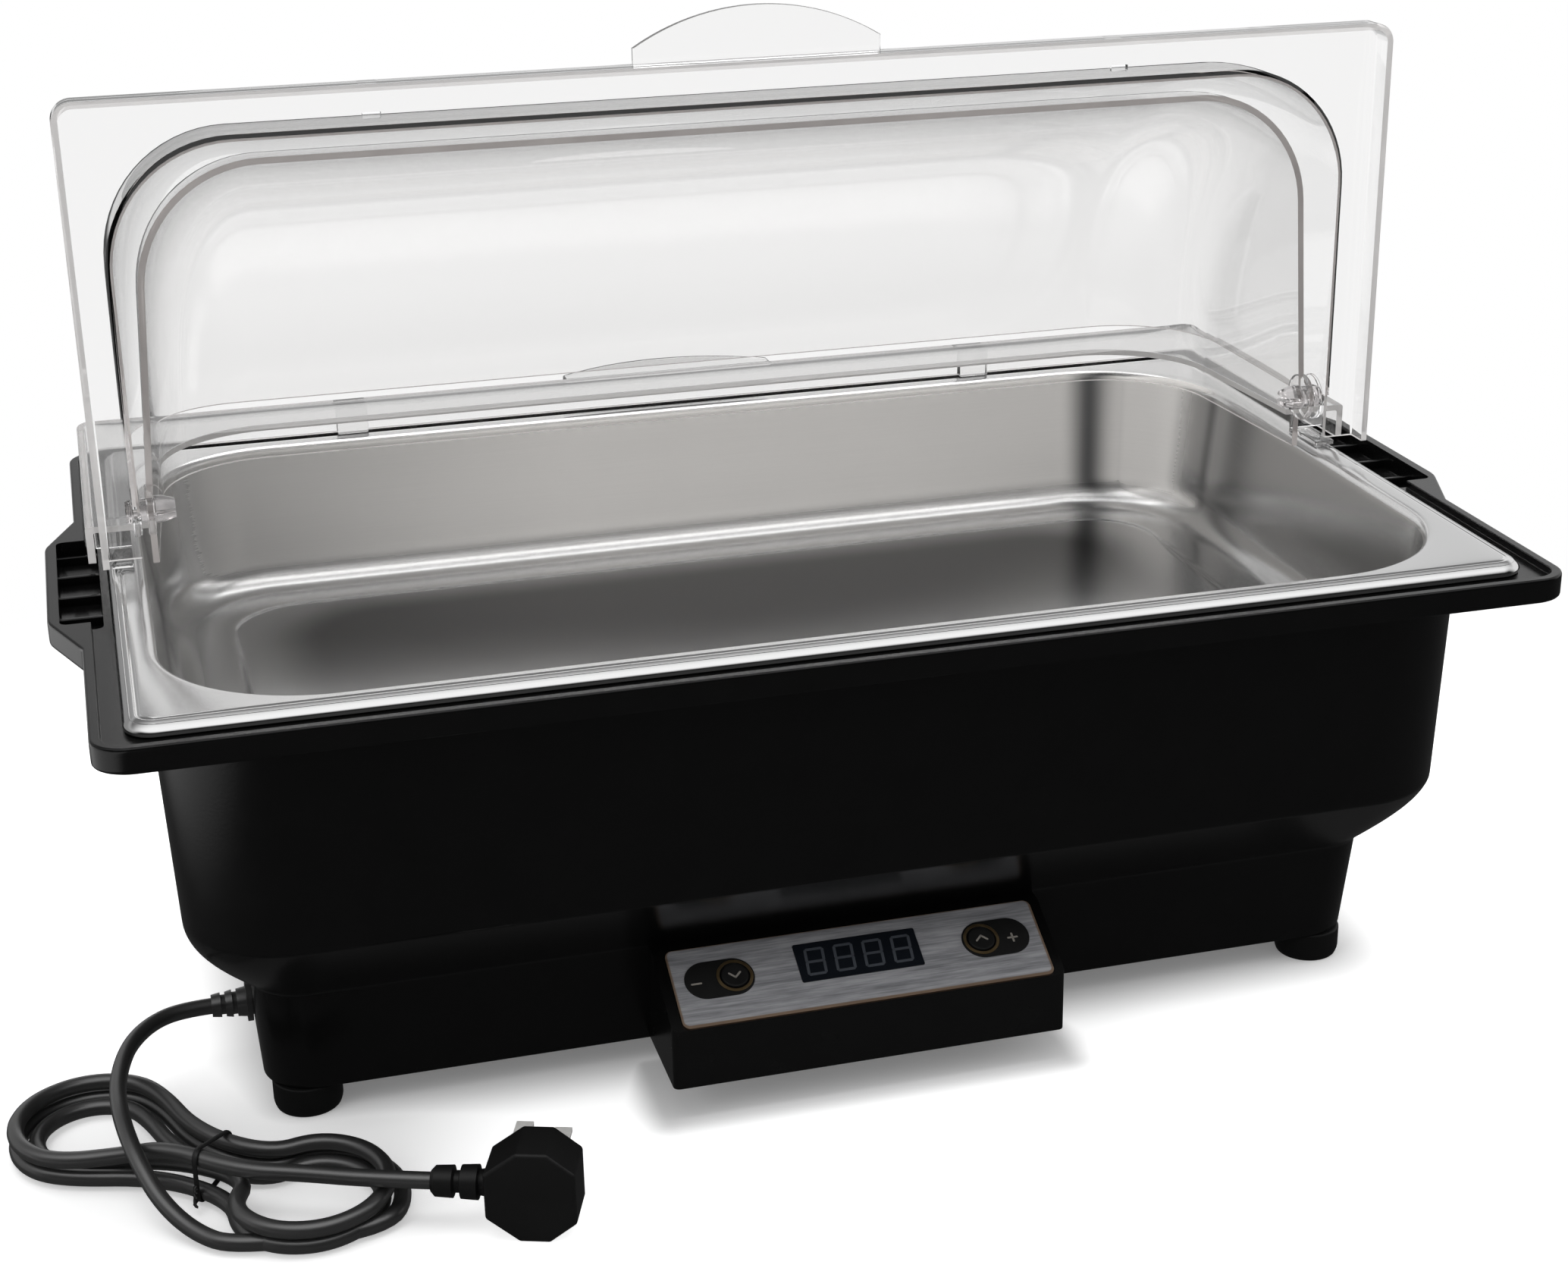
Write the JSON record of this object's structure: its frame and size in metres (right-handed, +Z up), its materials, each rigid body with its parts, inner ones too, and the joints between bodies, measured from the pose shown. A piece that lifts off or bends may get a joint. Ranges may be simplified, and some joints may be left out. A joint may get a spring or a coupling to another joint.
{
  "type": "electric chafing dish",
  "caption": "Countertop electric chafing dish: moulded black base with digital heat control, full-size steel pan and clear roll-top cover whose front half swings open over the rear half.",
  "frame": {"origin": "on the floor under the centre of the bounding box without the cord; the pan's centre is 6.25 mm towards the control box (-Y) from it", "axes": "+X along the length of the pan, to the right seen from the control box; +Y away from the control box; +Z up"},
  "size_m": [0.613, 0.4127, 0.397],
  "materials": {
    "black_plastic": "moulded, glossy",
    "rubber": "matt",
    "screw_steel": "zinc plated",
    "bath_steel": "satin",
    "pan_steel": "satin, bright rim",
    "clear_cover": "clear",
    "clear_pin": "clear",
    "panel_metal": "brushed",
    "display_dark": "glossy",
    "button_black": "satin",
    "ring_gold": "satin",
    "board_green": "matt",
    "heater_aluminium": "matt",
    "element_steel": "heat darkened",
    "terminal_plastic": "matt",
    "cord_black": "semi-matt",
    "tie_black": "matt",
    "plug_black": "moulded",
    "plug_pin_metal": "polished"
  },
  "bodies": {
    "base": {"base_shell": "black_plastic", "bottom_cover": "black_plastic", "foot_front_left": "rubber", "foot_rear_left": "rubber", "foot_front_right": "rubber", "foot_rear_right": "rubber", "base_screws": "screw_steel", "water_bath": "bath_steel", "control_housing": "black_plastic", "control_plate": "panel_metal", "display_window": "display_dark", "display_module": "display_dark", "button_field_down": "button_black", "button_field_up": "button_black", "button_ring_down": "ring_gold", "button_ring_up": "ring_gold", "control_board": "board_green", "board_screws": "screw_steel", "heater_plate": "heater_aluminium", "heating_element": "element_steel", "element_clamps": "screw_steel", "thermal_cutout": "element_steel", "temperature_probe": "element_steel", "heat_shield": "heater_aluminium", "power_board": "board_green", "terminal_block": "terminal_plastic", "cord_gland": "rubber", "power_cord_exit": "cord_black", "power_cord_hank": "cord_black", "power_cord_lead": "cord_black", "cord_tie": "tie_black", "plug_body": "plug_black", "plug_strain_relief": "plug_black", "plug_pins": "plug_pin_metal"},
    "food_pan": {"food_pan": "pan_steel"},
    "cover_rear": {"lid_rear": "clear_cover", "hinge_pin_left": "clear_pin", "hinge_pin_right": "clear_pin"},
    "cover_front": {"lid_front": "clear_cover"},
    "down_key": {"button_down": "button_black"},
    "up_key": {"button_up": "button_black"}
  },
  "joints": [
    {"name": "pan_lift", "type": "slide", "parent": "base", "child": "food_pan", "axis": [0, 0, 1], "range_m": [0, 0.12]},
    {"name": "cover_lift", "type": "slide", "parent": "food_pan", "child": "cover_rear", "axis": [0, 0, 1], "range_m": [0, 0.12]},
    {"name": "cover_hinge", "type": "hinge", "parent": "cover_rear", "child": "cover_front", "pos_m": [0, -0.00625, 0.2145], "axis": [1, 0, 0], "range_deg": [0, 90]},
    {"name": "down_key_press", "type": "slide", "parent": "base", "child": "down_key", "axis": [0, 0.4555, -0.8902], "range_m": [0, 0.001], "stiffness_N_per_m": 300, "springref_m": -0.001},
    {"name": "up_key_press", "type": "slide", "parent": "base", "child": "up_key", "axis": [0, 0.4555, -0.8902], "range_m": [0, 0.001], "stiffness_N_per_m": 300, "springref_m": -0.001}
  ]
}
